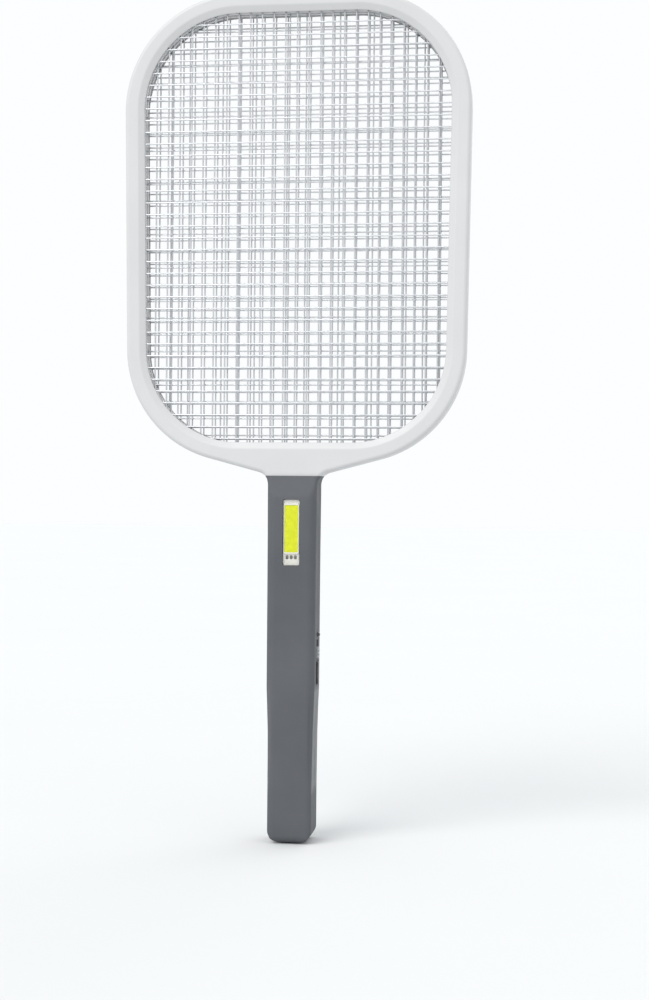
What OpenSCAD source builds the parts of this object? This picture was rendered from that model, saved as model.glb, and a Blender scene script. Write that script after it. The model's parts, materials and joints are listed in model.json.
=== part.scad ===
// Electric fly swatter: a three-layer live net in a two-shell head frame, on a hollow battery handle.
// Frame: X to the right, -Y is the front, +Z runs up from the grip to the head.
// The origin is the grip's centre on the parting plane between the front and rear shells.

/* [Head] */
// Height of the head's top edge above the grip's centre
head_top = 395; // [385:1:400]
// Height of the ring's bottom edge above the grip's centre
head_low = 118; // [116:1:122]
// Width across the head where the top corners begin
head_top_w = 206; // [196:0.2:208]
// Width across the head where the bottom corners begin
head_low_w = 201.8; // [192:0.2:204]
// Outer radius of the two top corners
top_r = 68.3; // [60:0.1:74]
// Outer radius of the two bottom corners
low_r = 67.3; // [60:0.1:72]
// Width of the frame's band around the net
band = 11.7; // [11.5:0.1:13]
// Front-to-back depth of the head frame
frame_depth = 17; // [17:0.5:20]
// Wall thickness of the frame shells
frame_wall = 1.8; // [1.6:0.1:2]

/* [Nets] */
// Pitch of the two outer nets' wires
outer_pitch = 7; // [6:0.5:8]
// Pitch of the centre net's wires
centre_pitch = 10; // [8:1:12]
// Diameter of every net wire
wire_d = 0.9; // [0.7:0.05:0.92]

/* [Handle] */
// Height of the border between the head frame and the handle
border = 110; // [109:0.5:111]
// Depth of the butt end below the grip's centre
butt = 105; // [105:1:112]
// Width across the neck
neck_w = 29.2; // [29.1:0.1:30.4]
// Width across the grip
grip_w = 26; // [25.8:0.1:27]
// Front-to-back depth of the handle
handle_depth = 27; // [27:0.5:29]
// Wall thickness of the handle shells
handle_wall = 2; // [1.8:0.1:2]

/* [Controls] */
// Travel of the three-position slide switch
switch_travel = 4; // [2:0.5:4]
// How far the side button can be pressed
button_travel = 1.2; // [0.8:0.1:1.2]

/* [Lamp] */
// Width of the lamp opening
lamp_w = 9.7; // [9:0.1:10]
// Height of the lamp opening
lamp_h = 38.4; // [38:0.1:39]

/* [Power] */
// Diameter of the rechargeable cell
cell_d = 18.2; // [14:0.1:18.4]
// Length of the rechargeable cell
cell_h = 65; // [50:1:65]

/* [Hidden] */
$fn = 48;

// Colours
shell_white = [0.87, 0.88, 0.89];
grip_grey = [0.36, 0.37, 0.38];
steel = [0.72, 0.73, 0.75];
brass = [0.80, 0.66, 0.36];
board_green = [0.12, 0.38, 0.22];

// Head outline
half_depth = frame_depth / 2;
TR = [head_top_w / 2 - top_r, head_top - top_r];
BR = [head_low_w / 2 - low_r, head_low + low_r];
TL = [-TR[0], TR[1]];
BL = [-BR[0], BR[1]];
// Angle at which the straight sides touch the corner arcs
side_a = -asin((top_r - low_r) / norm(TR - BR)) - atan2(TR[0] - BR[0], TR[1] - BR[1]);
// The shoulders slope down to the neck at this angle
shoulder_a = 15;
edge_round = 2.6;
// The straight runs reach this far into the corners and are this much slimmer, so that they join cleanly
run_lap = 0.3;
run_slim = 0.02;
face_in = 8;
lip_top = half_depth - 1.9;
lip_under = 6;
plate_under = half_depth - frame_wall;

// Neck fillet, in the plane of the frame
fillet_r = 8;
shoulder_start = BR + low_r * [sin(shoulder_a), -cos(shoulder_a)];
fillet_x = neck_w / 2 + fillet_r;
fillet_z = shoulder_start[1] - (shoulder_start[0] - fillet_x) * tan(shoulder_a)
           - fillet_r / cos(shoulder_a);

// Net stack, measured outwards from the parting plane
wire_r = wire_d / 2;
centre_gap = 0.01;
spacer_low = 0.95;
spacer_high = 4;
spacer_in = 8.3;
spacer_w = 3.2;
outer_vertical_v = spacer_high + wire_r + 0.02;
outer_level_v = outer_vertical_v + wire_d + 0.02;
net_inset = 9;
terminal_x = [outer_pitch, centre_pitch / 2];
terminal_z = head_low - 1;
terminal_h = 4;
terminal_r = 1.2;

// Tongue of the frame inside the handle
tongue_w = 24.8;
tongue_low = border - 17;
tongue_v = 6.5;
tongue_wall = 1.6;

// Screws
frame_boss_in = 5;
frame_boss_r = 2.4;
frame_head_seat = 6.1;
frame_head_r = 2;
frame_shank_r = 0.95;
function side_x(z, inset) = head_low_w / 2 - inset
    + (head_top_w - head_low_w) / 2 * (z - BR[1]) / (TR[1] - BR[1]);
function polar(c, r, a) = [c[0] + r * cos(a), c[1] + r * sin(a)];
frame_screw_half = [[20, head_top - frame_boss_in],
                    polar(TR, top_r - frame_boss_in, 45),
                    [side_x(285, frame_boss_in), 285],
                    [side_x(225, frame_boss_in), 225],
                    polar(BR, low_r - frame_boss_in, -40),
                    [27, 120.3]];
frame_screw_places = [for (p = frame_screw_half, s = [-1, 1]) [s * p[0], p[1]]];
handle_boss_r = 2.6;
handle_head_seat = 7.4;
handle_head_r = 2.2;
handle_shank_r = 1.1;
handle_screw_places = [[-8.5, border - 9], [8.5, border - 9], [-7.5, -13.5],
                       [-9, 13 - butt], [9, 13 - butt]];

// Handle outline: it keeps this width down to the side controls, and narrows below them
half_handle = handle_depth / 2;
control_w = 28.4;
butt_r = 7.5;
scoop_r = 600;
scoop_deep = 0.8;
scoop_z = -44;

// Lamp, from the front face inwards
lamp_z = 76.8;
lamp_ledge_v = 11;
lamp_board_t = 1;
dam_top = 12.7;
phosphor_w = 8;
phosphor_h = 27.6;
phosphor_z = 79;

// Side controls
knob_z = 5.9;
knob_h = 6.6;
knob_w = 4;
knob_out = 15.6;
flange_in = 11;
button_z = -6;
button_h = 13.2;
button_w = 5.2;
button_out = 15.3;
button_flange_in = 11.2;
spring_wire_r = 0.2;
spring_r = 1.9;
switch_face = 8.4;
switch_plunger = 0.5;
// The button's stem stops just short of the switch's plunger when it is fully pressed
button_stem_in = switch_face + switch_plunger + 0.1 + button_travel;
indicator_z = 16.6;
indicator_r = 1.5;

// Circuit board
board_front = 2.2;
board_t = 1.6;
board_w = 19.2;
board_low = -10.5;
board_high = 52;
lead_land_z = 49.8;
transformer = [-1, 40];
pin_r = 0.3;

// Battery and charging
cell_r = cell_d / 2;
cell_low = -83.6;
cell_high = cell_low + cell_h;
tab_t = 0.3;
charge_board_front = 1.63;
charge_board_t = 1.2;
usb_w = 8.94;
usb_h = 3.26;
usb_depth = 7.3;
usb_mouth = 0.3 - butt;

// Leads: radii, the gap left where one ends at a board or tab, and the points that each passes through
net_lead_r = 0.7;
battery_lead_r = 0.6;
lamp_lead_r = 0.4;
lead_gap = 0.08;
board_back = board_front + board_t;
charge_board_back = charge_board_front + charge_board_t;
function landing(x, z) = [[x, 1, z], [x, board_front - 0.6, z], [x, board_front - lead_gap, z]];
net_lead_centre_route = concat(
    [[5, -0.46, 116.9], [5, -0.46, 112], [5, -1, 100], [4.6, -1.2, 80], [4.2, -1, 60],
     [3.6, -0.2, 52]],
    landing(3.6, lead_land_z));
net_lead_front_route = concat(
    [[-7, -4.47, 116.9], [-7, -4.4, 114.6], [-6, -3.7, 111], [-4.7, -3.2, 107], [-4.6, -3, 98],
     [-5.4, -2.6, 80], [-6, -1.5, 60], [-6, -0.2, 52]],
    landing(-6, lead_land_z));
net_lead_rear_route = concat(
    [[-7, 4.47, 116.9], [-7, 4.4, 114.6], [-6, 3.6, 111], [-4.7, 2.9, 107], [-4.4, 2, 98],
     [-3.2, 1, 80], [-2.6, 0.3, 60], [-2.6, -0.2, 52]],
    landing(-2.6, lead_land_z));
lamp_lead_route = concat(
    [[0, -10.92, 62.4], [0, -9.4, 62.4], [0, -7.5, 60], [0, -5, 55], [0, -2, 52]],
    landing(0, lead_land_z));
battery_black_route = [[-4, 3, cell_low - tab_t - lead_gap], [-4, 3, -84.4], [-4, 3.1, -84.9],
                       [-4.8, 4.6, -86], [-6.6, 6.8, -86], [-8.4, 8.2, -82], [-8.4, 8.2, -60],
                       [-8.4, 8.2, -40], [-8.4, 8.2, -24], [-7, 8.4, -18.6], [-3.4, 8, -16],
                       [-1.2, 7, -12], [-1, 5.4, -8], [-1, 4.5, -8],
                       [-1, board_back + lead_gap, -8]];
battery_red_route = [[3, -1, cell_high + tab_t + lead_gap], [3, -1, -15], [2.4, -0.8, -11.5],
                     [2, 0, -8.8], [2, 1, -8], [2, board_front - 0.6, -8],
                     [2, board_front - lead_gap, -8]];
charge_lead_route = [[4, charge_board_back + lead_gap, -91], [4, 3.6, -91], [4.6, 5, -90.4],
                     [7, 7.2, -88], [8.4, 8.2, -83], [8.4, 8.2, -60], [8.4, 8.2, -40],
                     [8.4, 8.2, -24], [7.6, 8.2, -17], [6, 7, -11], [5, 5.4, -7], [5, 4.5, -7],
                     [5, board_back + lead_gap, -7]];

// Arc points from angle a0 to a1 in n steps
function arc(c, r, a0, a1, n) = [for (i = [0:n]) polar(c, r, a0 + (a1 - a0) * i / n)];
function mirrored(pts) = [for (i = [len(pts) - 1:-1:0]) [-pts[i][0], pts[i][1]]];
// Corner points of a rounded rectangle centred on the origin
function round_box(w, h, r) = concat(
    arc([w / 2 - r, h / 2 - r], r, 0, 90, 6), arc([r - w / 2, h / 2 - r], r, 90, 180, 6),
    arc([r - w / 2, r - h / 2], r, 180, 270, 6), arc([w / 2 - r, r - h / 2], r, 270, 360, 6));
// Half width and height limits of the head at an inset from its outline
function head_half_w(z, inset) =
    z > TR[1] ? TR[0] + sqrt(pow(top_r - inset, 2) - pow(z - TR[1], 2))
    : z < BR[1] ? BR[0] + sqrt(pow(low_r - inset, 2) - pow(BR[1] - z, 2))
    : side_x(z, inset);
function head_high(x, inset) = abs(x) < TR[0] ? head_top - inset
    : TR[1] + sqrt(pow(top_r - inset, 2) - pow(abs(x) - TR[0], 2));
function head_bottom(x, inset) = abs(x) < BR[0] ? head_low + inset
    : BR[1] - sqrt(pow(low_r - inset, 2) - pow(abs(x) - BR[0], 2));

// The shells are drawn in a local plane: X right, Y up the swatter, Z outwards from the parting plane
module front_side() { rotate([90, 0, 0]) children(); }
module rear_side() { mirror([0, 1, 0]) front_side() children(); }

// Sweeps of a cross-section whose x is 0 at the head's outer edge and negative inwards
module corner_sweep(c, r, a0, a1) {
    translate([c[0], c[1], 0])
        rotate_extrude(angle = a1 - a0, start = a0) translate([r, 0]) children();
}
module run_sweep(p0, p1) {
    d = p1 - p0;
    translate([p1[0], p1[1], 0]) rotate([0, 0, atan2(d[1], d[0]) - 90]) rotate([90, 0, 0])
        translate([0, 0, -run_lap]) linear_extrude(norm(d) + 2 * run_lap) translate([-run_slim, 0])
            scale([1 - 2 * run_slim / band, 1 - run_slim / half_depth]) children();
}
// The sides, the top and the corners down to an angle past the bottom corners' sides
module open_sweep(end_a) {
    corner_sweep(BR, low_r, end_a - 360, side_a) children();
    run_sweep(polar(BR, low_r, side_a), polar(TR, top_r, side_a)) children();
    corner_sweep(TR, top_r, side_a, 90) children();
    run_sweep(polar(TR, top_r, 90), polar(TL, top_r, 90)) children();
    corner_sweep(TL, top_r, 90, 180 - side_a) children();
    run_sweep(polar(TL, top_r, 180 - side_a), polar(BL, low_r, 180 - side_a)) children();
    corner_sweep(BL, low_r, 180 - side_a, 540 - end_a) children();
}
module low_sweep(end_a) {
    if (end_a > 270) {
        corner_sweep(BL, low_r, 540 - end_a, 270) children();
        corner_sweep(BR, low_r, 270, end_a) children();
    }
    run_sweep(polar(BL, low_r, 270), polar(BR, low_r, 270)) children();
}

module lip_section() {
    polygon([[-face_in, half_depth], [-band, lip_top], [-band, lip_under], [-face_in, lip_under]]);
}
module channel_section() {
    polygon([[0, 0], [0, half_depth - 2.8], [-0.8, half_depth - 1], [-edge_round, half_depth],
             [-face_in, half_depth], [-band, lip_top], [-band, lip_under], [-face_in, lip_under],
             [-face_in, plate_under], [-frame_wall, plate_under], [-frame_wall, 0]]);
}

// Region between the ring and the handle: over lets a cavity reach past the region's own edges
function throat_half(inset, low) = concat(
    [polar(BR, low_r - inset, 270 + shoulder_a)],
    arc([fillet_x, fillet_z], fillet_r + inset, 90 + shoulder_a,
        180 - asin((low - fillet_z) / (fillet_r + inset)), 6));
function throat_points(inset, low, over) = concat(
    arc(BR, low_r - face_in - over, 270, 270 + shoulder_a + over, 4),
    throat_half(inset, low), mirrored(throat_half(inset, low)),
    arc(BL, low_r - face_in - over, 270 - shoulder_a - over, 270, 4));

module frame_shell() {
    open_sweep(270 + shoulder_a) channel_section();
    low_sweep(270 + shoulder_a) lip_section();
    difference() {
        union() {
            linear_extrude(half_depth) polygon(throat_points(0, border, 0));
            translate([-tongue_w / 2, tongue_low, 0]) cube([tongue_w, 18, tongue_v]);
        }
        translate([0, 0, -1]) linear_extrude(plate_under + 1)
            polygon(throat_points(frame_wall, border + frame_wall, 1));
        translate([tongue_wall - tongue_w / 2, tongue_low - 1, -1])
            cube([tongue_w - 2 * tongue_wall, 22, tongue_v - tongue_wall + 1]);
        for (s = [-1, 1]) translate([s * handle_screw_places[1][0], handle_screw_places[1][1], -1])
            cylinder(r = handle_boss_r + 0.3, h = tongue_v + 2);
    }
}
module front_frame() {
    color(shell_white) front_side() difference() {
        union() {
            frame_shell();
            for (p = frame_screw_places) translate([p[0], p[1], 0])
                cylinder(r = frame_boss_r, h = plate_under + 0.5);
        }
        for (p = frame_screw_places) translate([p[0], p[1], -1]) cylinder(r = 1, h = 7);
    }
}
module rear_frame() {
    color(shell_white) rear_side() difference() {
        union() {
            frame_shell();
            for (p = frame_screw_places) translate([p[0], p[1], 0])
                cylinder(r = frame_boss_r + 0.6, h = plate_under + 0.5);
        }
        for (p = frame_screw_places) translate([p[0], p[1], -1]) {
            cylinder(r = frame_shank_r + 0.15, h = half_depth);
            translate([0, 0, frame_head_seat + 1]) cylinder(r = frame_head_r + 0.3, h = half_depth);
        }
    }
}

// One net: upright wires at depth v_up and level wires at depth v_level
module net(pitch, offset, v_up, v_level, tail_x) {
    limit_x = head_top_w / 2 - net_inset - 4;
    n_up = floor((limit_x - offset) / pitch);
    for (i = [-n_up:n_up], x = [i * pitch + offset]) if (abs(x) < limit_x) {
        low = x == tail_x ? terminal_z + 0.5 : head_bottom(x, net_inset);
        translate([x, low, v_up]) rotate([-90, 0, 0])
            cylinder(d = wire_d, h = head_high(x, net_inset) - low, $fn = 16);
    }
    first_z = head_low + net_inset + pitch * 0.7;
    n_level = floor((head_top - net_inset - 3 - first_z) / pitch);
    for (i = [0:n_level], z = [first_z + i * pitch]) {
        w = head_half_w(z, net_inset);
        translate([-w, z, v_level]) rotate([0, 90, 0]) cylinder(d = wire_d, h = 2 * w, $fn = 16);
    }
}
module front_net() {
    color(steel) front_side()
        net(outer_pitch, 0, outer_vertical_v, outer_level_v, -terminal_x[0]);
}
module rear_net() {
    color(steel) rear_side()
        net(outer_pitch, 0, outer_vertical_v, outer_level_v, -terminal_x[0]);
}
module centre_net() {
    color(steel) front_side()
        net(centre_pitch, centre_pitch / 2, wire_r + centre_gap, -wire_r - centre_gap, terminal_x[1]);
}
module spacer_ring() {
    open_sweep(270) translate([-spacer_in - spacer_w, spacer_low])
        square([spacer_w, spacer_high - spacer_low]);
    low_sweep(270) translate([-spacer_in - spacer_w, spacer_low])
        square([spacer_w, spacer_high - spacer_low]);
}
module front_spacer_ring() { color(shell_white) front_side() spacer_ring(); }
module rear_spacer_ring() { color(shell_white) rear_side() spacer_ring(); }

// Crimp sleeves on the three net wires that reach down into the throat
module net_terminals() {
    color(brass) for (p = [[-terminal_x[0], -outer_vertical_v], [-terminal_x[0], outer_vertical_v],
                           [terminal_x[1], -wire_r - centre_gap]])
        translate([p[0], p[1], terminal_z]) difference() {
            cylinder(r = p[0] > 0 ? wire_r + 0.45 : terminal_r, h = terminal_h);
            translate([0, 0, 0.45]) cylinder(r = wire_r + 0.03, h = terminal_h);
        }
}

// Pan-head screw along +Z, seated at z = 0 with its shank below
module screw(head_r, head_h, shank_r, shank_h) {
    difference() {
        union() {
            cylinder(r = head_r, h = head_h);
            translate([0, 0, -shank_h]) cylinder(r = shank_r, h = shank_h + 0.5);
        }
        for (a = [0, 90]) rotate([0, 0, a]) translate([-head_r * 0.6, -0.25, head_h - 0.6])
            cube([head_r * 1.2, 0.5, 1]);
    }
}
module frame_screws() {
    color(steel) rear_side() for (p = frame_screw_places)
        translate([p[0], p[1], frame_head_seat])
            screw(frame_head_r, 1.5, frame_shank_r, frame_head_seat + 5.5);
}
module handle_screws() {
    color(steel) rear_side() for (p = handle_screw_places)
        translate([p[0], p[1], handle_head_seat])
            screw(handle_head_r, 1.6, handle_shank_r, handle_head_seat + 7);
}

// Handle: the outline from the front, the cross-section and the side profile cut each other
function handle_half(inset) = concat(
    [polar([fillet_x, fillet_z], fillet_r + inset,
           180 - asin((border - fillet_z) / (fillet_r + inset)))],
    [for (a = [150, 160, 170]) polar([fillet_x, fillet_z], fillet_r + inset, a)],
    [[neck_w / 2 - inset, fillet_z], [neck_w / 2 - 0.3 - inset, 50],
     [control_w / 2 - inset, -14], [grip_w / 2 + 0.3 - inset, -40],
     [grip_w / 2 - inset, -75], [grip_w / 2 - inset, butt_r - butt]],
    arc([grip_w / 2 - butt_r, butt_r - butt], butt_r - inset, -10, -90, 6));
// Cross-section of the handle's +X half, and its side profile, both at an inset from the outside
function handle_section(inset, v) = [
    [17.4 - inset, 0],
    [17.4 - inset, 5 - inset * 0.3],
    [15.5 - inset * 0.9, 8.6 - inset * 0.45],
    [13.6 - inset * 0.8, v - 2.1 + inset * 0.3],
    [12.2 - inset * 0.6, v - 0.8 + inset * 0.1],
    [10.3 - inset * 0.2, v]];
function handle_profile(inset, v) = [
    [inset - butt, 0],
    [inset - butt, v - 4 + inset * 0.6],
    [inset * 0.8 - butt + 1.2, v - 1.5 + inset * 0.3],
    [inset * 0.5 - butt + 4, v],
    [97 - inset * 0.25, v],
    [border, v - 4.2],
    [border, 0]];
module handle_solid(inset) {
    v = half_handle - inset;
    half_section = handle_section(inset, v);
    intersection() {
        linear_extrude(20) polygon(concat(handle_half(inset), mirrored(handle_half(inset))));
        translate([0, 150, 0]) rotate([90, 0, 0]) linear_extrude(300)
            polygon(concat(half_section, mirrored(half_section)));
        translate([-20, 0, 0]) rotate([90, 0, 90]) linear_extrude(40)
            polygon(handle_profile(inset, v));
    }
}
// Shallow scoops for the fingers along both edges of the front face
module finger_scoops() {
    for (s = [0, 1]) mirror([s, 0, 0]) translate([12.8, scoop_z, 12]) rotate([0, -40, 0])
        translate([scoop_r - scoop_deep, 0, -12]) cylinder(r = scoop_r, h = 24, $fn = 400);
}
// Openings in both shells: slide switch, button, indicator and charging socket
module side_openings() {
    translate([11, knob_z - knob_h / 2 - 0.4, -1])
        cube([8, knob_h + switch_travel + 0.8, knob_w / 2 + 1.2]);
    translate([11, button_z - button_h / 2 - 0.3, -1]) cube([8, button_h + 0.6, button_w / 2 + 1.3]);
    translate([11, indicator_z, 0]) rotate([0, 90, 0]) cylinder(r = indicator_r + 0.05, h = 8);
    translate([0, 1 - butt + handle_wall, 0]) rotate([90, 0, 0]) linear_extrude(handle_wall + 3)
        polygon(round_box(usb_w + 0.3, usb_h + 0.3, 1.7));
}
module cradle_ribs() {
    for (z = [-72, -30]) difference() {
        translate([-6.5, z, 6.4]) cube([13, 1.4, half_handle - 1 - 6.4]);
        translate([0, z - 1, 0]) rotate([-90, 0, 0]) cylinder(r = cell_r + 0.05, h = 4);
    }
}
module handle_front() {
    color(grip_grey) front_side() difference() {
        union() {
            difference() {
                handle_solid(0);
                translate([0, 0, -0.01]) handle_solid(handle_wall);
                translate([handle_wall - neck_w / 2, 100, -1]) cube([neck_w - 2 * handle_wall, 20, 8]);
            }
            cradle_ribs();
            translate([-6.3, lamp_z - lamp_h / 2 - 1.6, 9.2]) cube([12.6, lamp_h + 3.2, 2.8]);
            intersection() {
                handle_solid(0.6);
                for (p = handle_screw_places) translate([p[0], p[1], 0])
                    cylinder(r = handle_boss_r, h = 20);
            }
        }
        for (p = handle_screw_places) translate([p[0], p[1], -1])
            cylinder(r = handle_shank_r + 0.05, h = 9);
        translate([0, lamp_z, lamp_ledge_v]) linear_extrude(5)
            polygon(round_box(lamp_w, lamp_h, 1));
        translate([-3.4, lamp_z - 17, 5]) cube([6.8, 34, 8]);
        side_openings();
        finger_scoops();
    }
}
module handle_rear() {
    color(grip_grey) rear_side() difference() {
        union() {
            difference() {
                handle_solid(0);
                translate([0, 0, -0.01]) handle_solid(handle_wall);
                translate([handle_wall - neck_w / 2, 100, -1]) cube([neck_w - 2 * handle_wall, 20, 8]);
            }
            cradle_ribs();
            intersection() {
                handle_solid(0.6);
                union() {
                    for (p = handle_screw_places) translate([p[0], p[1], 0]) {
                        cylinder(r = handle_boss_r, h = 20);
                        translate([0, 0, handle_head_seat - 0.5]) cylinder(r = 3.4, h = 20);
                    }
                    for (p = [[-7, -7], [7.5, 16], [-7.5, 46], [7.5, 46]])
                        translate([p[0], p[1], board_front + board_t]) cylinder(r = 1.5, h = 20);
                    translate([-3.5, 16 - butt, charge_board_front + charge_board_t])
                        cylinder(r = 1.5, h = 20);
                }
            }
        }
        for (p = handle_screw_places) translate([p[0], p[1], -1]) {
            cylinder(r = handle_shank_r + 0.2, h = 12);
            translate([0, 0, handle_head_seat + 1]) cylinder(r = handle_head_r + 0.3, h = 12);
        }
        side_openings();
    }
}

// Lamp behind the front face
module lamp_plate(w, h, r, z, low, high) {
    front_side() translate([0, z, low]) linear_extrude(high - low) polygon(round_box(w, h, r));
}
module lamp_window() {
    color([0.9, 0.93, 0.95, 0.4])
        lamp_plate(lamp_w - 0.1, lamp_h - 0.1, 0.95, lamp_z, dam_top, half_handle - 0.1);
}
module lamp_board() {
    color([0.93, 0.93, 0.92]) lamp_plate(lamp_w - 0.1, lamp_h - 0.1, 0.95, lamp_z, lamp_ledge_v,
                                         lamp_ledge_v + lamp_board_t);
}
module lamp_dam() {
    color([0.96, 0.96, 0.94]) difference() {
        lamp_plate(phosphor_w + 1.2, phosphor_h + 2, 1, phosphor_z,
                   lamp_ledge_v + lamp_board_t, dam_top);
        lamp_plate(phosphor_w, phosphor_h, 0.6, phosphor_z, lamp_ledge_v, dam_top + 1);
    }
}
module lamp_phosphor() {
    color([0.9, 0.93, 0.2]) lamp_plate(phosphor_w - 0.02, phosphor_h - 0.02, 0.6, phosphor_z,
                                       lamp_ledge_v + lamp_board_t, dam_top - 0.15);
}
module lamp_solder_pads() {
    color(steel) for (x = [-2.4, 0, 2.4])
        translate([x, 0, 0]) lamp_plate(1.8, 2.4, 0.3, 62.4, lamp_ledge_v + lamp_board_t, 12.3);
}

// Side controls, drawn directly in the swatter's frame
module slide_switch_knob() {
    color([0.62, 0.64, 0.65]) difference() {
        union() {
            translate([flange_in, -knob_w / 2, knob_z - knob_h / 2])
                cube([knob_out - flange_in, knob_w, knob_h]);
            translate([flange_in, -3.2, knob_z - knob_h / 2 - 0.7]) cube([1, 6.4, knob_h + 1.4]);
            translate([9.6, -0.75, knob_z - 0.75]) cube([2, 1.5, 1.5]);
        }
        for (dz = [-2.2, 0, 2.2]) translate([knob_out, 3, knob_z + dz]) rotate([90, 0, 0])
            cylinder(r = 0.55, h = 6, $fn = 24);
    }
}
module slide_switch_body() {
    color([0.75, 0.76, 0.78]) difference() {
        translate([3.6, -board_front, 1.7]) cube([6.8, 2 * board_front, 12.4]);
        translate([9.2, -1, 4.7]) cube([3, 2, 6.4]);
    }
}
module zap_button() {
    color([0.16, 0.17, 0.18]) {
        translate([button_flange_in, -button_w / 2, button_z - button_h / 2]) difference() {
            cube([button_out - button_flange_in, button_w, button_h]);
            for (y = [0, button_w]) translate([button_out - button_flange_in, y, -1])
                rotate([0, 0, 45]) translate([-0.45, -0.45, 0]) cube([0.9, 0.9, button_h + 2]);
        }
        translate([button_flange_in, -3.4, button_z - button_h / 2 - 0.8])
            cube([0.9, 6.8, button_h + 1.6]);
        translate([button_stem_in, 0, button_z]) rotate([0, 90, 0])
            cylinder(r = 1.4, h = button_flange_in + 0.5 - button_stem_in);
    }
}
module button_switch() {
    color([0.2, 0.2, 0.22]) {
        translate([4.4, -board_front, button_z - 3]) cube([switch_face - 4.4, 2 * board_front, 6]);
        translate([switch_face - 0.5, 0, button_z]) rotate([0, 90, 0])
            cylinder(r = 1.5, h = switch_plunger + 0.5);
    }
}
module charge_indicator() {
    color([0.25, 0.08, 0.08]) translate([10.8, 0, indicator_z]) rotate([0, 90, 0]) {
        cylinder(r = indicator_r + 0.3, h = 1);
        cylinder(r = indicator_r, h = 3.6);
        translate([0, 0, 3.6]) intersection() {
            sphere(r = indicator_r);
            cylinder(r = indicator_r, h = indicator_r);
        }
    }
}

// A tube swept along points, flat-ended, with rings square to the route
function unit(v) = v / norm(v);
function turn_dir(pts, i) = i == 0 ? unit(pts[1] - pts[0])
    : i == len(pts) - 1 ? unit(pts[i] - pts[i - 1])
    : unit(unit(pts[i] - pts[i - 1]) + unit(pts[i + 1] - pts[i]));
function side_dir(d) = abs(d[0]) < 0.8 ? unit(cross(d, [1, 0, 0])) : unit(cross(d, [0, 0, 1]));
function carried(u, d) = unit(u - (u * d) * d);
function ring_sides(pts, i) = i == 0 ? side_dir(turn_dir(pts, 0))
    : carried(ring_sides(pts, i - 1), turn_dir(pts, i));
module tube(pts, r, sides = 8) {
    rings = len(pts);
    points = [for (i = [0:rings - 1])
              let(d = turn_dir(pts, i), u = ring_sides(pts, i), w = cross(d, u))
              for (k = [0:sides - 1]) let(a = 360 * k / sides)
              pts[i] + r * (cos(a) * u + sin(a) * w)];
    walls = [for (i = [0:rings - 2], k = [0:sides - 1])
             let(a = i * sides + k, b = i * sides + (k + 1) % sides) [a, a + sides, b + sides, b]];
    polyhedron(points, concat([[for (k = [0:sides - 1]) k]], walls,
               [[for (k = [sides - 1:-1:0]) (rings - 1) * sides + k]]));
}
// A smooth route through hand-chosen points
function bend(p, q, r, s, t) = 0.5 * (2 * q + (r - p) * t + (2 * p - 5 * q + 4 * r - s) * t * t
                                      + (3 * q - p - 3 * r + s) * t * t * t);
function route(p, steps) = concat([p[0]], [for (i = [0:len(p) - 2], k = [1:steps])
    bend(p[max(0, i - 1)], p[i], p[i + 1], p[min(len(p) - 1, i + 2)], k / steps)]);

module button_spring() {
    coil_low = switch_face + spring_wire_r + 0.03;
    coil_h = button_flange_in - switch_face - 2 * spring_wire_r - 0.06;
    turns = 3;
    color(steel) tube([for (i = [0:turns * 10]) let(a = 36 * i)
        [coil_low + coil_h * i / (turns * 10), spring_r * cos(a), button_z + spring_r * sin(a)]],
        spring_wire_r, 6);
}

// Circuit board and the parts on it
module on_board(x, z) { translate([x, board_front, z]) rotate([90, 0, 0]) children(); }
module circuit_board() {
    color(board_green) translate([-board_w / 2, board_front, board_low])
        cube([board_w, board_t, board_high - board_low]);
}
module transformer_core() {
    color([0.22, 0.22, 0.23]) on_board(transformer[0], transformer[1]) difference() {
        translate([-8, -7, 2.6]) cube([16, 14, 5]);
        for (s = [-1, 1]) translate([s * 4.05 - 1.75, -5, 2]) cube([3.5, 10, 7]);
    }
}
module transformer_bobbin() {
    color([0.12, 0.12, 0.12]) on_board(transformer[0], transformer[1]) difference() {
        union() {
            for (z = [-4.9, 4.1]) translate([-5.4, z, 0.6]) cube([10.8, 0.8, 9]);
            translate([-2.9, -4.5, 1.9]) cube([5.8, 9, 6.4]);
            for (x = [-4, 0, 4], z = [-4.5, 4.5]) translate([x, z, 0])
                cylinder(r = pin_r, h = 1, $fn = 16);
        }
        translate([-2.35, -6, 2.55]) cube([4.7, 12, 5.1]);
        for (s = [-1, 1]) translate([s * 5.9 - 0.2, -6, 2.5]) cube([0.3, 12, 5.2]);
    }
}
module transformer_winding() {
    color([0.72, 0.42, 0.2]) on_board(transformer[0], transformer[1]) difference() {
        translate([-5, -4.05, 0.9]) cube([10, 8.1, 8.4]);
        translate([-2.95, -5, 1.85]) cube([5.9, 10, 6.5]);
    }
}
module high_voltage_capacitor() {
    color([0.62, 0.16, 0.12]) on_board(-5, 22) {
        translate([0, 0, 0.6]) linear_extrude(9.4) polygon(round_box(8.4, 15, 1.2));
        for (z = [-5, 5]) translate([0, z, 0]) cylinder(r = pin_r, h = 1, $fn = 16);
    }
}
module multiplier_capacitors() {
    color([0.2, 0.45, 0.7]) for (z = [19.5, 26.5]) on_board(5, z) {
        translate([0, 1.4, 5]) rotate([90, 0, 0]) cylinder(r = 3.8, h = 2.8);
        for (x = [-2, 2]) translate([x, 0, 0]) cylinder(r = pin_r, h = 3, $fn = 16);
    }
}
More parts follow.
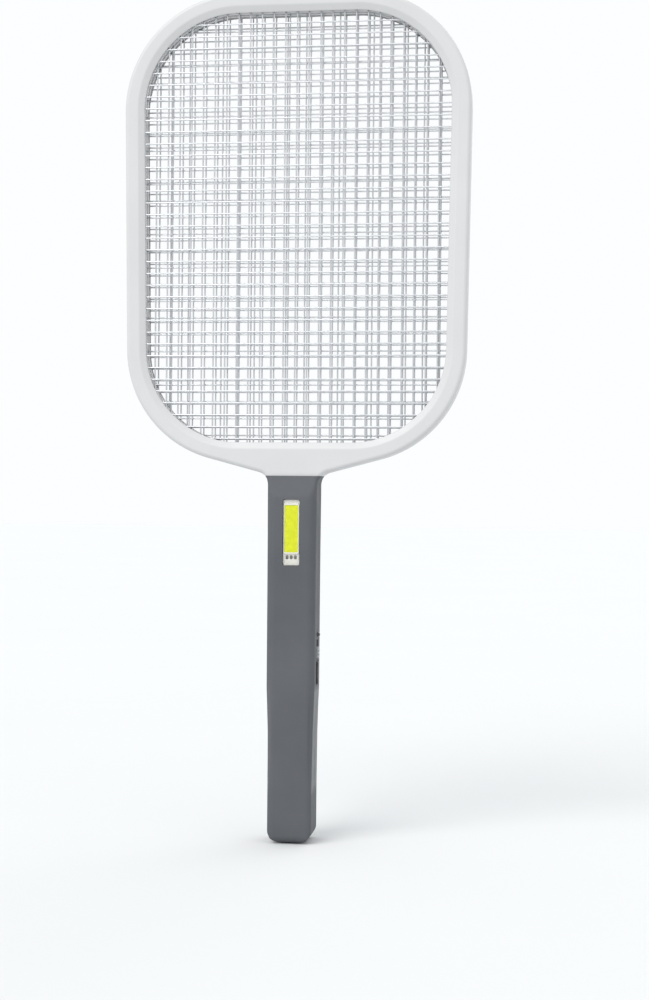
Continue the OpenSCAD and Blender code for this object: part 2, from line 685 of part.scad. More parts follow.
module multiplier_diodes() {
    color([0.15, 0.15, 0.16]) for (x = [-8, -4.8, -1.6]) on_board(x, 6) {
        translate([0, 2.6, 1.7]) rotate([90, 0, 0]) cylinder(r = 1.3, h = 5.2);
        for (z = [-3.4, 3.4]) {
            translate([0, z, 0]) cylinder(r = 0.35, h = 1.9, $fn = 16);
            translate([0, z, 1.7]) rotate([z > 0 ? 90 : -90, 0, 0])
                cylinder(r = pin_r, h = 1.5, $fn = 16);
        }
    }
}
module switching_transistor() {
    color([0.14, 0.14, 0.15]) on_board(-5.5, -3.6) {
        translate([0, 0, 1.4]) difference() {
            cylinder(r = 2.3, h = 4.6);
            translate([-3, -4.4, -1]) cube([6, 3, 7]);
        }
        for (x = [-1.27, 0, 1.27]) translate([x, 0, 0]) cylinder(r = 0.25, h = 2, $fn = 16);
    }
}
module resistors() {
    color([0.78, 0.66, 0.48]) for (p = [[-8.2, 33], [-0.4, -4], [1.8, 12]]) on_board(p[0], p[1]) {
        translate([0, 1.6, 1.1]) rotate([90, 0, 0]) cylinder(r = 0.9, h = 3.2);
        for (z = [-2.2, 2.2]) {
            translate([0, z, 0]) cylinder(r = 0.25, h = 1.3, $fn = 16);
            translate([0, z, 1.1]) rotate([z > 0 ? 90 : -90, 0, 0]) cylinder(r = 0.22, h = 1, $fn = 16);
        }
    }
}

// Battery, its tabs and the charging board
module battery_cell() {
    color([0.2, 0.42, 0.62]) translate([0, 0, cell_low]) {
        cylinder(r = cell_r, h = cell_h - 0.6);
        translate([0, 0, cell_h - 1]) cylinder(r = 3, h = 1);
    }
}
module battery_tabs() {
    color(steel) {
        translate([-3, -2.5, cell_high]) cube([9, 5, tab_t]);
        translate([-6.5, -1, cell_low - tab_t]) cube([9, 6, tab_t]);
    }
}
module charge_board() {
    color(board_green) {
        translate([-6, charge_board_front, 2.4 - butt]) cube([12, charge_board_t, 16.4]);
        translate([-3, charge_board_front - 1.5, 12 - butt]) cube([4.2, 1.6, 5]);
    }
}
module usb_socket_shell() {
    color(steel) translate([0, 0, usb_mouth]) difference() {
        linear_extrude(usb_depth) polygon(round_box(usb_w, usb_h, 1.6));
        translate([0, 0, -1]) linear_extrude(usb_depth + 0.7)
            polygon(round_box(usb_w - 0.62, usb_h - 0.62, 1.29));
    }
}
module usb_tongue() {
    color([0.1, 0.1, 0.1]) translate([0, 0, usb_mouth]) {
        translate([-3.35, -0.35, 0.6]) cube([6.7, 0.7, 6]);
        translate([0, 0, 4.9]) linear_extrude(usb_depth - 5.2)
            polygon(round_box(usb_w - 0.7, usb_h - 0.7, 1.25));
    }
}

// Insulated leads, from their sleeves or tabs to the boards
module net_lead_centre() { color([0.8, 0.1, 0.1]) tube(route(net_lead_centre_route, 2), net_lead_r); }
module net_leads_outer() {
    color([0.9, 0.9, 0.88]) {
        tube(route(net_lead_front_route, 2), net_lead_r);
        tube(route(net_lead_rear_route, 2), net_lead_r);
    }
}
module lamp_leads() {
    color([0.9, 0.8, 0.2]) for (x = [-0.7, 1.1])
        translate([x, 0, 0]) tube(route(lamp_lead_route, 2), lamp_lead_r);
}
module battery_lead_black() {
    color([0.1, 0.1, 0.1]) tube(route(battery_black_route, 2), battery_lead_r);
}
module battery_lead_red() {
    color([0.8, 0.1, 0.1]) tube(route(battery_red_route, 2), battery_lead_r);
}
module charge_lead() { color([0.85, 0.3, 0.1]) tube(route(charge_lead_route, 2), battery_lead_r); }

front_frame();
rear_frame();
front_net();
centre_net();
rear_net();
front_spacer_ring();
rear_spacer_ring();
frame_screws();
net_terminals();
handle_front();
handle_rear();
handle_screws();
lamp_window();
lamp_board();
lamp_dam();
lamp_phosphor();
lamp_solder_pads();
slide_switch_knob();
slide_switch_body();
zap_button();
button_spring();
button_switch();
charge_indicator();
circuit_board();
transformer_core();
transformer_bobbin();
transformer_winding();
high_voltage_capacitor();
multiplier_capacitors();
multiplier_diodes();
switching_transistor();
resistors();
battery_cell();
battery_tabs();
charge_board();
usb_socket_shell();
usb_tongue();
net_lead_centre();
net_leads_outer();
lamp_leads();
battery_lead_black();
battery_lead_red();
charge_lead();
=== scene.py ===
import json
import math

import bmesh
import bpy
from mathutils import Matrix, Vector
from mathutils.geometry import tessellate_polygon


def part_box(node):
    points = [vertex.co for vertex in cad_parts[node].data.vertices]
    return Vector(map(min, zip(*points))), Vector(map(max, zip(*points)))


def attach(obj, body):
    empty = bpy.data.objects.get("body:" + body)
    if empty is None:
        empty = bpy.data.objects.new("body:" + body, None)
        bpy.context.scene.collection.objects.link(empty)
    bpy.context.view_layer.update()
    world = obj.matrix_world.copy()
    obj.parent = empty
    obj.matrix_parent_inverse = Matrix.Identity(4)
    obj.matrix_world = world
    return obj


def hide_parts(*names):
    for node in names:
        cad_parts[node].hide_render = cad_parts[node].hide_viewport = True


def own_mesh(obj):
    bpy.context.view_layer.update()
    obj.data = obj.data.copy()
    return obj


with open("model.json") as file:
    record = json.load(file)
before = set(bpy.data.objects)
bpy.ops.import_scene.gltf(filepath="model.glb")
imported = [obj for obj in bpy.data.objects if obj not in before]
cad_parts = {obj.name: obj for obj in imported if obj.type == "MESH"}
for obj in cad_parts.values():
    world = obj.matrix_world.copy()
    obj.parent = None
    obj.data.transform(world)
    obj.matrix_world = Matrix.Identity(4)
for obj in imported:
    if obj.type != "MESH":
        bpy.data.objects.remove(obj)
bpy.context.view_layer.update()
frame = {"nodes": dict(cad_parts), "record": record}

nodes = frame["nodes"]
MM = 0.001


def box_mm(node):
    low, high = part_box(node)
    return [c / MM for c in low], [c / MM for c in high]


# ---------------------------------------------------------------- outline of the head, in millimetres
frame_low, frame_high = box_mm("front_frame")
handle_low, handle_high = box_mm("handle_front")
HEAD_TOP = frame_high[2]
BORDER = handle_high[2]
BUTT = handle_low[2]
HALF_DEPTH = -frame_low[1]
HALF_HANDLE = -handle_low[1]
# corner radii of the head at the top and bottom, and the centres of its right-hand corners
TOP_R, LOW_R = 68.3, 67.3
TR = (34.7, HEAD_TOP - TOP_R)
BR = (33.6, 185.3)
# the round between the throat and the handle, and the slope of the throat's shoulder
FILLET, FILLET_R = (22.6, 104.397), 8.0
SHOULDER = 15.0
# half widths of the handle, and the round of its butt's corners
NECK_W, CONTROL_W, GRIP_W = 14.6, 14.2, 13.0
BUTT_R = 7.5
# width of the frame's band, where its flat front ends, and its wall
BAND, FLAT_IN, WALL = 11.7, 8.0, 1.8
SCREW_INSET = 5
# slope of the head's nearly straight sides
SIDE = -math.degrees(math.asin((TOP_R - LOW_R) / math.dist(TR, BR))
                     + math.atan2(TR[0] - BR[0], TR[1] - BR[1]))


def polar(c, r, a):
    return (c[0] + r * math.cos(math.radians(a)), c[1] + r * math.sin(math.radians(a)))


def arc(c, r, a0, a1, n):
    return [polar(c, r, a0 + (a1 - a0) * i / n) for i in range(n + 1)]


def line(p, q, n):
    """Points strictly between p and q."""
    return [(p[0] + (q[0] - p[0]) * i / n, p[1] + (q[1] - p[1]) * i / n) for i in range(1, n)]


def mirrored(pts):
    return [(-x, z) for x, z in reversed(pts)]


def head_half(inset, start):
    """Right half of the head, from an angle on the bottom corner up to the top's middle."""
    low = arc(BR, LOW_R - inset, start, 360 + SIDE, 48)
    high = arc(TR, TOP_R - inset, SIDE, 90, 48)
    return low + line(low[-1], high[0], 24) + high + line(high[-1], (0, high[-1][1]), 6)


def ring_loop(inset):
    half = head_half(inset, 270)
    half = line((0, half[0][1]), half[0], 6) + half
    return half + [(0, half[-1][1])] + mirrored(half) + [(0, BR[1] - LOW_R + inset)]


def silhouette(inset, low):
    """The whole head with its throat, down to the border with the handle."""
    reach = FILLET_R + inset
    fillet = arc(FILLET, reach, 180 - math.degrees(math.asin((low - FILLET[1]) / reach)),
                 90 + SHOULDER, 16)
    head = head_half(inset, 270 + SHOULDER)
    right = fillet + line(fillet[-1], head[0], 6) + head
    right = right + [(0, right[-1][1])]
    left = mirrored(right[:-1])
    return right + left + line(left[-1], right[0], 8)


# ---------------------------------------------------------------- mesh helpers
SMOOTH_ANGLE = math.radians(35)


def finish_mesh(bm, name, side=-1):
    """A millimetre mesh drawn as X, Z and depth becomes an object; side -1 is the front, +1 the rear."""
    for v in bm.verts:
        x, z, d = v.co
        v.co = (x * MM, side * d * MM, z * MM)
    return as_object(bm, name)


def as_object(bm, name):
    bmesh.ops.remove_doubles(bm, verts=bm.verts, dist=1e-7)
    bmesh.ops.recalc_face_normals(bm, faces=bm.faces)
    mesh = bpy.data.meshes.new(name)
    bm.to_mesh(mesh)
    bm.free()
    obj = bpy.data.objects.new(name, mesh)
    bpy.context.scene.collection.objects.link(obj)
    shade(obj)
    return obj


def shade(obj):
    for p in obj.data.polygons:
        p.use_smooth = True
    obj.data.set_sharp_from_angle(angle=SMOOTH_ANGLE)


def soften(obj, width, segments=2, angle=40):
    bevel = obj.modifiers.new("Edges", "BEVEL")
    bevel.width = width * MM
    bevel.segments = segments
    bevel.limit_method = "ANGLE"
    bevel.angle_limit = math.radians(angle)
    bevel.harden_normals = False
    weigh(obj)


def weigh(obj):
    normals = obj.modifiers.new("Normals", "WEIGHTED_NORMAL")
    normals.mode = "FACE_AREA"
    normals.weight = 50
    normals.keep_sharp = True


def bridge(bm, a, b):
    n = len(a)
    for i in range(n):
        j = (i + 1) % n
        bm.faces.new((a[i], a[j], b[j], b[i]))


def add_loop(bm, pts, depth):
    return [bm.verts.new((x, z, depth)) for x, z in pts]


def fill_between(bm, outer, inner):
    flat = outer + inner
    polygons = [[Vector((v.co.x, v.co.y, 0)) for v in loop] for loop in (outer, inner)]
    for tri in tessellate_polygon(polygons):
        bm.faces.new([flat[i] for i in tri])


def prism(bm, pts, low, high, flare=0.0, flare_at=None):
    """A closed prism over a convex outline in the plane of the frame, with an optional flared top."""
    loops = [add_loop(bm, pts, low)]
    if flare:
        cx = sum(p[0] for p in pts) / len(pts)
        cz = sum(p[1] for p in pts) / len(pts)
        loops.append(add_loop(bm, pts, flare_at))
        grown = []
        for x, z in pts:
            r = math.hypot(x - cx, z - cz)
            hx = math.copysign(flare, x - cx) if abs(x - cx) > 1e-6 else 0
            hz = math.copysign(flare, z - cz) if abs(z - cz) > 1e-6 else 0
            grown.append((x + (x - cx) / r * flare, z + (z - cz) / r * flare) if is_round(pts)
                         else (x + hx, z + hz))
        loops.append(add_loop(bm, grown, high))
    else:
        loops.append(add_loop(bm, pts, high))
    for a, b in zip(loops, loops[1:]):
        bridge(bm, a, b)
    bm.faces.new(list(reversed(loops[0])))
    bm.faces.new(loops[-1])


def is_round(pts):
    xs, zs = [p[0] for p in pts], [p[1] for p in pts]
    return abs((max(xs) - min(xs)) - (max(zs) - min(zs))) < 0.01


def rounded(w, h, r, cx=0.0, cz=0.0, n=8):
    out = []
    for sx, sz, a in ((1, 1, 0), (-1, 1, 90), (-1, -1, 180), (1, -1, 270)):
        out += arc((cx + sx * (w / 2 - r), cz + sz * (h / 2 - r)), r, a, a + 90, n)
    return out


def rectangle(x0, x1, z0, z1):
    return [(x0, z0), (x1, z0), (x1, z1), (x0, z1)]


def circle(cx, cz, r, n=40):
    return [polar((cx, cz), r, 360 * i / n) for i in range(n)]


def carve(obj, bm, name, how, side=-1):
    """Joins to obj or cuts from it, at once, what bm holds. The added bosses may overlap each other."""
    tool = finish_mesh(bm, name, side)
    mod = obj.modifiers.new(name, "BOOLEAN")
    mod.operation = how
    mod.solver = "EXACT"
    mod.use_self = name.endswith("_bosses")
    mod.object = tool
    bpy.context.view_layer.update()
    graph = bpy.context.evaluated_depsgraph_get()
    mesh = bpy.data.meshes.new_from_object(obj.evaluated_get(graph))
    obj.modifiers.clear()
    old = obj.data
    obj.data = mesh
    bpy.data.meshes.remove(old)
    bpy.data.objects.remove(tool)
    shade(obj)


def apply_all(obj):
    """Turns the modifiers' result into the object's own mesh."""
    bpy.context.view_layer.update()
    graph = bpy.context.evaluated_depsgraph_get()
    mesh = bpy.data.meshes.new_from_object(obj.evaluated_get(graph))
    obj.modifiers.clear()
    old = obj.data
    obj.data = mesh
    bpy.data.meshes.remove(old)


def stand_for(obj, node, body="root"):
    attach(obj, body)
    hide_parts(node)


# ---------------------------------------------------------------- procedural materials
def new_material(name):
    mat = bpy.data.materials.new(name)
    mat.use_nodes = True
    tree = mat.node_tree
    tree.nodes.clear()
    out = tree.nodes.new("ShaderNodeOutputMaterial")
    shader = tree.nodes.new("ShaderNodeBsdfPrincipled")
    tree.links.new(shader.outputs["BSDF"], out.inputs["Surface"])
    coords = tree.nodes.new("ShaderNodeTexCoord")
    return mat, tree, shader, coords.outputs["Object"]


def noise(tree, vector, scale, detail=4.0, rough=0.55, stretch=None):
    if stretch:
        mapping = tree.nodes.new("ShaderNodeMapping")
        mapping.inputs["Scale"].default_value = stretch
        tree.links.new(vector, mapping.inputs["Vector"])
        vector = mapping.outputs["Vector"]
    n = tree.nodes.new("ShaderNodeTexNoise")
    n.inputs["Scale"].default_value = scale
    n.inputs["Detail"].default_value = detail
    n.inputs["Roughness"].default_value = rough
    tree.links.new(vector, n.inputs["Vector"])
    return n.outputs["Fac"]


def ramp(tree, fac, low, high, a=0.3, b=0.7):
    r = tree.nodes.new("ShaderNodeValToRGB")
    r.color_ramp.elements[0].position = a
    r.color_ramp.elements[1].position = b
    r.color_ramp.elements[0].color = (*low, 1)
    r.color_ramp.elements[1].color = (*high, 1)
    tree.links.new(fac, r.inputs["Fac"])
    return r.outputs["Color"]


def spread(tree, fac, low, high, a=0.25, b=0.75):
    m = tree.nodes.new("ShaderNodeMapRange")
    m.inputs["From Min"].default_value = a
    m.inputs["From Max"].default_value = b
    m.inputs["To Min"].default_value = low
    m.inputs["To Max"].default_value = high
    tree.links.new(fac, m.inputs["Value"])
    return m.outputs["Result"]


def bump(tree, shader, height, strength, distance, chained=None):
    b = tree.nodes.new("ShaderNodeBump")
    b.inputs["Strength"].default_value = strength
    b.inputs["Distance"].default_value = distance
    tree.links.new(height, b.inputs["Height"])
    if chained:
        tree.links.new(chained, b.inputs["Normal"])
    tree.links.new(b.outputs["Normal"], shader.inputs["Normal"])
    return b.outputs["Normal"]


def tinted(colour, k):
    return tuple(min(1.0, c * k) for c in colour)


def plastic(name, colour, rough, vary=0.05, grain=3200, grain_depth=0.00002, strength=0.3,
            coat=0.0, specular=0.5):
    """Moulded plastic with fine spark-eroded grain, faint flow clouds and patches rubbed smoother."""
    mat, tree, shader, at = new_material(name)
    clouds = noise(tree, at, 24, 5)
    tree.links.new(ramp(tree, clouds, tinted(colour, 1 - vary), tinted(colour, 1 + vary)),
                   shader.inputs["Base Color"])
    rubbed = noise(tree, at, 70, 6, 0.65)
    tree.links.new(spread(tree, rubbed, rough - 0.06, rough + 0.07), shader.inputs["Roughness"])
    shader.inputs["Specular IOR Level"].default_value = specular
    shader.inputs["Coat Weight"].default_value = coat
    shader.inputs["Coat Roughness"].default_value = 0.12
    wave = bump(tree, shader, noise(tree, at, 90, 3), 0.12, 0.00012)
    bump(tree, shader, noise(tree, at, grain, 3), strength, grain_depth, wave)
    return mat


def between(tree, value, low, high, soft):
    """One where the value lies between two limits, easing to nought outside them."""
    rise = spread(tree, value, 0, 1, low - soft, low + soft)
    fall = spread(tree, value, 1, 0, high - soft, high + soft)
    both = tree.nodes.new("ShaderNodeMath")
    both.operation = "MULTIPLY"
    tree.links.new(rise, both.inputs[0])
    tree.links.new(fall, both.inputs[1])
    return both.outputs["Value"]


# where the fingers rub the handle's sides, in metres
RUBBED_Z = (-0.075, -0.0145)
RUBBED_X = (0.0119, 0.05)


def grip(name):
    """Satin handle plastic, rubbed smoother where the fingers lie along its sides."""
    mat, tree, shader, at = new_material(name)
    clouds = noise(tree, at, 24, 5)
    tree.links.new(ramp(tree, clouds, (0.087, 0.092, 0.101), (0.105, 0.110, 0.121)),
                   shader.inputs["Base Color"])
    place = tree.nodes.new("ShaderNodeSeparateXYZ")
    tree.links.new(at, place.inputs["Vector"])
    width = tree.nodes.new("ShaderNodeMath")
    width.operation = "ABSOLUTE"
    tree.links.new(place.outputs["X"], width.inputs[0])
    along = between(tree, place.outputs["Z"], *RUBBED_Z, 0.0025)
    beside = between(tree, width.outputs["Value"], *RUBBED_X, 0.0006)
    rubbed = tree.nodes.new("ShaderNodeMath")
    rubbed.operation = "MULTIPLY"
    tree.links.new(along, rubbed.inputs[0])
    tree.links.new(beside, rubbed.inputs[1])
    patches = spread(tree, noise(tree, at, 70, 6, 0.65), 0.53, 0.65)
    rough = tree.nodes.new("ShaderNodeMath")
    rough.operation = "MULTIPLY_ADD"
    tree.links.new(rubbed.outputs["Value"], rough.inputs[0])
    rough.inputs[1].default_value = -0.2
    tree.links.new(patches, rough.inputs[2])
    tree.links.new(rough.outputs["Value"], shader.inputs["Roughness"])
    shader.inputs["Specular IOR Level"].default_value = 0.25
    wave = bump(tree, shader, noise(tree, at, 90, 3), 0.12, 0.00012)
    bump(tree, shader, noise(tree, at, 3000, 3), 0.4, 0.00003, wave)
    return mat


def metal(name, colour, rough, stretch=(1, 1, 1), scale=900, vary=0.08, strength=0.2):
    """Drawn, stamped or plated metal, with streaks along one direction and small dull spots."""
    mat, tree, shader, at = new_material(name)
    shader.inputs["Metallic"].default_value = 1.0
    streaks = noise(tree, at, scale, 6, 0.6, stretch)
    spots = noise(tree, at, 160, 5, 0.6)
    tree.links.new(ramp(tree, spots, tinted(colour, 1 - vary), tinted(colour, 1 + vary)),
                   shader.inputs["Base Color"])
    tree.links.new(spread(tree, streaks, rough - 0.07, rough + 0.1), shader.inputs["Roughness"])
    bump(tree, shader, streaks, strength, 0.00002)
    return mat


def phosphor(name):
    """Silicone with yellow phosphor, its tone and roughness varying in fine clouds."""
    mat, tree, shader, at = new_material(name)
    clouds = noise(tree, at, 420, 4)
    tree.links.new(ramp(tree, clouds, (0.64, 0.69, 0.002), (0.77, 0.82, 0.008)),
                   shader.inputs["Base Color"])
    tree.links.new(spread(tree, noise(tree, at, 900, 3), 0.28, 0.42), shader.inputs["Roughness"])
    shader.inputs["Specular IOR Level"].default_value = 0.15
    bump(tree, shader, noise(tree, at, 1400, 2), 0.2, 0.00003)
    return mat


def clear(name):
    """Clear polycarbonate, very slightly hazed by fine scuffs."""
    mat, tree, shader, at = new_material(name)
    shader.inputs["Alpha"].default_value = 0.05
    scuffs = noise(tree, at, 1500, 6, 0.7, (1, 1, 0.15))
    tree.links.new(spread(tree, scuffs, 0.04, 0.16, 0.35, 0.8), shader.inputs["Roughness"])
    tree.links.new(ramp(tree, scuffs, (0.20, 0.21, 0.21), (0.30, 0.31, 0.32)),
                   shader.inputs["Base Color"])
    bump(tree, shader, scuffs, 0.05, 0.00001)
    return mat


MATERIALS = {
    "frame_plastic": plastic("Frame plastic", (0.575, 0.578, 0.584), 0.42, 0.025, grain=2600,
                             strength=0.22),
    "grip_plastic": grip("Grip plastic"),
    "net_steel": metal("Net wire", (0.62, 0.63, 0.65), 0.3, (1, 1, 1), 1400),
    "screw_steel": metal("Plated screw", (0.56, 0.57, 0.6), 0.32),
    "terminal_brass": metal("Terminal brass", (0.72, 0.52, 0.22), 0.3),
    "lamp_clear": clear("Lamp window"),
    "lamp_white": plastic("Lamp white", (0.80, 0.79, 0.72), 0.4, 0.05, strength=0.15),
    "phosphor": phosphor("Lamp phosphor"),
    "solder": metal("Solder", (0.20, 0.195, 0.17), 0.45, vary=0.2),
    "knob_grey": plastic("Knob plastic", (0.42, 0.44, 0.45), 0.42, 0.05, strength=0.3),
    "button_dark": plastic("Button plastic", (0.045, 0.048, 0.052), 0.4, 0.12, strength=0.35),
    "switch_metal": metal("Switch housing", (0.30, 0.31, 0.33), 0.42, (1, 1, 0.1)),
    "indicator_lens": plastic("Indicator lens", (0.034, 0.036, 0.042), 0.16, 0.1, strength=0.05,
                              coat=0.5),
    "board_green": plastic("Board", (0.03, 0.14, 0.06), 0.3, 0.12, strength=0.15, coat=0.3),
    "ferrite": plastic("Ferrite", (0.045, 0.045, 0.048), 0.6, 0.15, grain=1800, strength=0.5),
    "component_black": plastic("Component epoxy", (0.03, 0.03, 0.032), 0.45, 0.15, strength=0.3),
    "copper_wire": metal("Enamelled copper", (0.62, 0.24, 0.09), 0.28, (1, 1, 12), 700),
    "capacitor_red": plastic("Red epoxy", (0.34, 0.04, 0.03), 0.3, 0.1, coat=0.4),
    "capacitor_blue": plastic("Blue epoxy", (0.05, 0.16, 0.42), 0.3, 0.1, coat=0.4),
    "resistor_tan": plastic("Resistor lacquer", (0.55, 0.38, 0.2), 0.4, 0.1),
    "cell_wrap": plastic("Cell wrap", (0.05, 0.15, 0.34), 0.28, 0.06, strength=0.1, coat=0.4),
    "nickel": metal("Nickel", (0.6, 0.58, 0.53), 0.27),
    "lead_red": plastic("Red lead", (0.55, 0.03, 0.03), 0.42, 0.08),
    "lead_white": plastic("White lead", (0.72, 0.72, 0.69), 0.42, 0.05),
    "lead_yellow": plastic("Yellow lead", (0.75, 0.55, 0.05), 0.42, 0.08),
    "lead_black": plastic("Black lead", (0.025, 0.025, 0.025), 0.42, 0.12),
    "lead_orange": plastic("Orange lead", (0.65, 0.12, 0.02), 0.42, 0.08),
}
SLOTS = {s["node"]: s["material_slot"] for s in frame["record"]["subparts"]}
for node, obj in nodes.items():
    obj.data.materials.clear()
    obj.data.materials.append(MATERIALS[SLOTS[node]])


def dress(obj, slot):
    obj.data.materials.clear()
    obj.data.materials.append(MATERIALS[slot])


# ---------------------------------------------------------------- head frame
# half width of the head at its lower corners, and how much wider its half is at the upper ones
LOW_HALF = BR[0] + LOW_R
SIDE_LEAN = TR[0] + TOP_R - LOW_HALF
# the tongue that reaches into the handle: half width, wall, lower end and half depth
TONGUE_W, TONGUE_WALL, TONGUE_LOW, TONGUE_DEPTH = 12.4, 1.6, 93, 6.5
# a screw's well in the rear shell: radius, floor, top, flare and where it starts; then radius and
# depth of its shank's hole, and of its pilot hole in the front shell
HEAD_HOLES = (2.3, 6.1, 8.7, 0.35, 8.15), (1.1, 6.2), (1.0, 6.0)
HANDLE_HOLES = (2.5, 7.4, 14.2, 0.4, 13.1), (1.3, 7.6), (1.15, 8.0)
SIDE_SCREWS = [(LOW_HALF - SCREW_INSET + SIDE_LEAN * (z - BR[1]) / (TR[1] - BR[1]), z)
               for z in (285.0, 225.0)]
SCREWS = [(20, HEAD_TOP - SCREW_INSET), polar(TR, TOP_R - SCREW_INSET, 45), *SIDE_SCREWS,
          polar(BR, LOW_R - SCREW_INSET, -40), (27, 120.3)]
SCREWS = [(s * x, z) for x, z in SCREWS for s in (-1, 1)]
# two in the head's tongue, one by the controls and two at the butt
HANDLE_SCREWS = [(-8.5, 101), (8.5, 101), (-7.5, -13.5), (-9, 13 + BUTT), (9, 13 + BUTT)]


def screw_holes(cut, places, side, holes):
    """Cuts wells and shank holes in the rear shell, or pilot holes in the front one."""
    well, shank, pilot = holes
    for x, z in places:
        if side > 0:
            prism(cut, circle(x, z, well[0]), *well[1:])
            prism(cut, circle(x, z, shank[0], 24), -1.0, shank[1])
        else:
            prism(cut, circle(x, z, pilot[0], 24), -1.0, pilot[1])


def head_shell(name, side):
    """One half of the head: each profile point is an inset from the outline and a depth."""
    bm = bmesh.new()
    edge = [(0.18, 0.0), (0.0, 0.2)]
    edge += [(2.6 * (1 - math.cos(t)), 5.7 + 2.8 * math.sin(t))
             for t in [math.radians(90 * i / 10) for i in range(11)]]
    loops = [add_loop(bm, silhouette(u, BORDER), v) for u, v in edge]
    for a, b in zip(loops, loops[1:]):
        bridge(bm, a, b)
    lip = [(7.5, HALF_DEPTH), (8.0, 8.44), (8.5, 8.24), (11.2, 6.86), (11.55, 6.62), (BAND, 6.4),
           (BAND, 6.0), (FLAT_IN, 6.0), (FLAT_IN, 6.7)]
    ring = [add_loop(bm, ring_loop(u), v) for u, v in lip]
    for a, b in zip(ring, ring[1:]):
        bridge(bm, a, b)
    fill_between(bm, loops[-1], ring[0])
    under = add_loop(bm, silhouette(WALL, BORDER + WALL), 6.7)
    rim = add_loop(bm, silhouette(WALL, BORDER + WALL), 0.0)
    fill_between(bm, under, ring[-1])
    bridge(bm, under, rim)
    bridge(bm, rim, loops[0])
    obj = finish_mesh(bm, name, side)

    extra = bmesh.new()
    prism(extra, rectangle(-TONGUE_W, TONGUE_W, TONGUE_LOW, BORDER + 1), 0.0, TONGUE_DEPTH)
    for x, z in SCREWS:
        prism(extra, circle(x, z, 2.4 if side < 0 else 2.6), 0.05, 7.4)
    carve(obj, extra, name + "_bosses", "UNION", side)
    cut = bmesh.new()
    inner_w = TONGUE_W - TONGUE_WALL
    prism(cut, rectangle(-inner_w, inner_w, TONGUE_LOW - 1, 114), -1.0, TONGUE_DEPTH - TONGUE_WALL)
    for x, z in HANDLE_SCREWS[:2]:
        prism(cut, circle(x, z, 2.9), 4.0, 8.0)
    screw_holes(cut, SCREWS, side, HEAD_HOLES)
    carve(obj, cut, name + "_holes", "DIFFERENCE", side)
    weigh(obj)
    apply_all(obj)
    dress(obj, "frame_plastic")
    stand_for(obj, "front_frame" if side < 0 else "rear_frame")
    return obj


def spacer(name, side, node):
    bm = bmesh.new()
    section = [(8.3, 1.15), (8.5, 0.95), (11.2, 0.95), (11.5, 1.25), (11.5, 3.7), (11.2, 4.0),
               (8.5, 4.0), (8.3, 3.8)]
    loops = [add_loop(bm, ring_loop(u), v) for u, v in section]
    for i in range(len(loops)):
        bridge(bm, loops[i], loops[(i + 1) % len(loops)])
    obj = finish_mesh(bm, name, side)
    weigh(obj)
    dress(obj, "frame_plastic")
    stand_for(obj, node)


# ---------------------------------------------------------------- handle
# lower and upper end of each slot in the handle's +X side, and its half height across the seam
KNOB_SLOT = ((2.2, 13.6), 3.2)
BUTTON_SLOT = ((-12.9, 0.9), 3.9)
SLOT_FROM, SLOT_TO = 11, 24
INDICATOR_Z = 16.6
# middle of the lamp's opening, and the depth of the face its board lies on
LAMP_Z, LAMP_BACK = 76.8, 12.0
SHELL_WALL = 1.7


def outline_w(z):
    """Half width of the handle at a height."""
    if z > FILLET[1] - 4:
        if z <= FILLET[1]:
            return FILLET[0] - FILLET_R
        return FILLET[0] - math.sqrt(FILLET_R ** 2 - (z - FILLET[1]) ** 2)
    keys = [(BUTT + BUTT_R, GRIP_W), (-75, GRIP_W), (-40, GRIP_W + 0.3), (-14, CONTROL_W),
            (50, NECK_W - 0.3), (FILLET[1] - 4, NECK_W)]
    if z < BUTT + BUTT_R:
        d = BUTT + BUTT_R - z
        return GRIP_W - BUTT_R + math.sqrt(max(0.0, BUTT_R ** 2 - d * d))
    for (z0, w0), (z1, w1) in zip(keys, keys[1:]):
        if z <= z1:
            t = (z - z0) / (z1 - z0)
            return w0 + (w1 - w0) * t
    return keys[-1][1]


def limit_v(z):
    """How far the handle stands out of the parting plane at a height."""
    keys = [(BUTT, 9.5), (BUTT + 0.5, 10.9), (BUTT + 1.2, 12.0), (BUTT + 2.4, 13.05),
            (BUTT + 4, HALF_HANDLE), (96, HALF_HANDLE), (98, 13.3), (BORDER, 9.3)]
    for (z0, v0), (z1, v1) in zip(keys, keys[1:]):
        if z <= z1:
            return v0 + (v1 - v0) * (z - z0) / (z1 - z0)
    return keys[-1][1]


CROWN = [(17.4, 5.0), (15.5, 8.6), (13.6, 11.4), (12.2, 12.7), (10.3, 13.5), (0.0, 13.5)]


def crown_v(x):
    for (x0, v0), (x1, v1) in zip(CROWN, CROWN[1:]):
        if x >= x1:
            return v0 + (v1 - v0) * (x0 - x) / (x0 - x1)
    return CROWN[-1][1]


